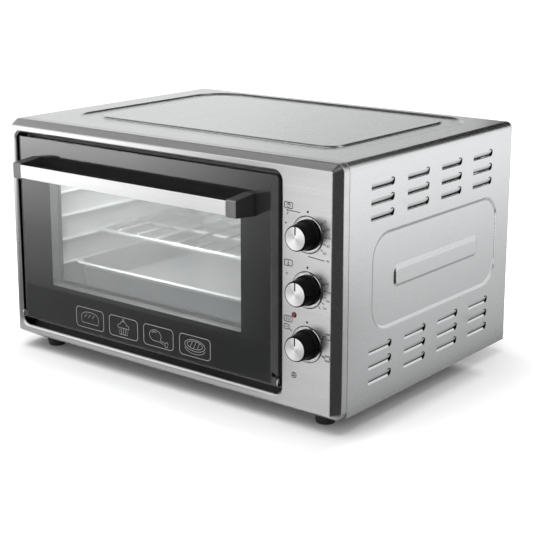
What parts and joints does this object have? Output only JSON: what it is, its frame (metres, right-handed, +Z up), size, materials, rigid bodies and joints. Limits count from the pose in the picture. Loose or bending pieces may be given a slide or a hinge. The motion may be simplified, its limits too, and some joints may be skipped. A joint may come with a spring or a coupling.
{
  "type": "electric countertop oven",
  "caption": "Boxy electric countertop oven with a drop-down glass door, bar handle, turning controls, louvred sides, rod heaters, circulation fan, wire rack and baking tray.",
  "frame": {"origin": "on the table under the middle of the oven's overall box", "axes": "+X along the front to the controls' side, +Y from the front to the back, +Z up"},
  "size_m": [0.624, 0.502, 0.365],
  "materials": {
    "silver_sheet": "satin silver-grey paint on pressed sheet",
    "plain_sheet": "plain zinc-coated sheet",
    "cavity_sheet": "bright aluminised sheet",
    "runner_sheet": "pressed bright sheet",
    "heater_sheath": "heat-dulled metal sheath",
    "ceramic_bush": "off-white ceramic",
    "fan_metal": "pressed sheet",
    "motor_metal": "laminated iron and lacquered winding",
    "control_body": "cream moulding",
    "sensor_copper": "drawn copper tube",
    "lamp_lens": "dark red translucent lens",
    "bezel_metal": "polished ring",
    "spindle_metal": "turned steel",
    "knob_plastic": "satin black moulding",
    "knob_disc": "spun face",
    "hinge_steel": "zinc-plated steel",
    "door_glass": "toughened glass with a black printed border",
    "clear_glass": "clear toughened glass",
    "door_metal": "black enamel",
    "trim_plastic": "satin dark moulding",
    "handle_plastic": "satin black moulding",
    "handle_metal": "bright brushed strip",
    "screw_metal": "zinc-plated screws",
    "rack_wire": "plated wire",
    "tray_enamel": "bright pressed sheet",
    "foot_rubber": "black rubbery moulding",
    "gland_rubber": "black bush"
  },
  "bodies": {
    "oven_body": {"front_frame": "silver_sheet", "top_panel": "silver_sheet", "left_side_panel": "silver_sheet", "right_side_panel": "silver_sheet", "back_panel": "silver_sheet", "base_panel": "plain_sheet", "cavity_mouth": "cavity_sheet", "cavity_wrap": "cavity_sheet", "cavity_floor": "cavity_sheet", "cavity_back": "cavity_sheet", "heat_shield": "plain_sheet", "left_shelf_runner": "runner_sheet", "right_shelf_runner": "runner_sheet", "upper_heaters": "heater_sheath", "lower_heaters": "heater_sheath", "heater_bushes": "ceramic_bush", "fan_cover": "runner_sheet", "fan_housing": "plain_sheet", "fan_motor": "motor_metal", "timer_body": "control_body", "thermostat_body": "control_body", "selector_body": "control_body", "thermostat_sensor": "sensor_copper", "indicator_lamp": "lamp_lens", "knob_bezels": "bezel_metal", "left_hinge_bracket": "hinge_steel", "right_hinge_bracket": "hinge_steel", "front_left_foot": "foot_rubber", "front_right_foot": "foot_rubber", "rear_left_foot": "foot_rubber", "rear_right_foot": "foot_rubber", "cable_gland": "gland_rubber", "case_screws": "screw_metal"},
    "door": {"door_glass": "door_glass", "door_pan": "door_metal", "inner_glass": "clear_glass", "left_door_trim": "trim_plastic", "right_door_trim": "trim_plastic", "handle_bar": "handle_plastic", "handle_strip": "handle_metal", "left_handle_end": "handle_plastic", "right_handle_end": "handle_plastic", "handle_screws": "screw_metal", "left_hinge_pin": "hinge_steel", "right_hinge_pin": "hinge_steel", "left_door_stay": "hinge_steel", "right_door_stay": "hinge_steel"},
    "fan": {"fan_impeller": "fan_metal"},
    "rack": {"wire_rack": "rack_wire"},
    "tray": {"baking_tray": "tray_enamel"},
    "timer_control": {"timer_spindle": "spindle_metal", "timer_knob": "knob_plastic", "timer_disc": "knob_disc"},
    "thermostat_control": {"thermostat_spindle": "spindle_metal", "thermostat_knob": "knob_plastic", "thermostat_disc": "knob_disc"},
    "selector_control": {"selector_spindle": "spindle_metal", "selector_knob": "knob_plastic", "selector_disc": "knob_disc"}
  },
  "joints": [
    {"name": "door_drop", "type": "hinge", "parent": "oven_body", "child": "door", "pos_m": [-0.039, -0.205, 0.056], "axis": [1, 0, 0], "range_deg": [0, 90]},
    {"name": "fan_spin", "type": "hinge", "parent": "oven_body", "child": "fan", "pos_m": [-0.0385, 0.194, 0.198], "axis": [0, 1, 0], "continuous": true},
    {"name": "rack_slide", "type": "slide", "parent": "oven_body", "child": "rack", "axis": [0, -1, 0], "range_m": [0, 0.1]},
    {"name": "tray_slide", "type": "slide", "parent": "oven_body", "child": "tray", "axis": [0, -1, 0], "range_m": [0, 0.04]},
    {"name": "timer_turn", "type": "hinge", "parent": "oven_body", "child": "timer_control", "pos_m": [0.2655, -0.221, 0.2697], "axis": [0, 1, 0], "range_deg": [0, 330]},
    {"name": "thermostat_turn", "type": "hinge", "parent": "oven_body", "child": "thermostat_control", "pos_m": [0.2655, -0.221, 0.1957], "axis": [0, 1, 0], "range_deg": [0, 300]},
    {"name": "selector_turn", "type": "hinge", "parent": "oven_body", "child": "selector_control", "pos_m": [0.2655, -0.221, 0.1217], "axis": [0, 1, 0], "range_deg": [0, 300]}
  ]
}
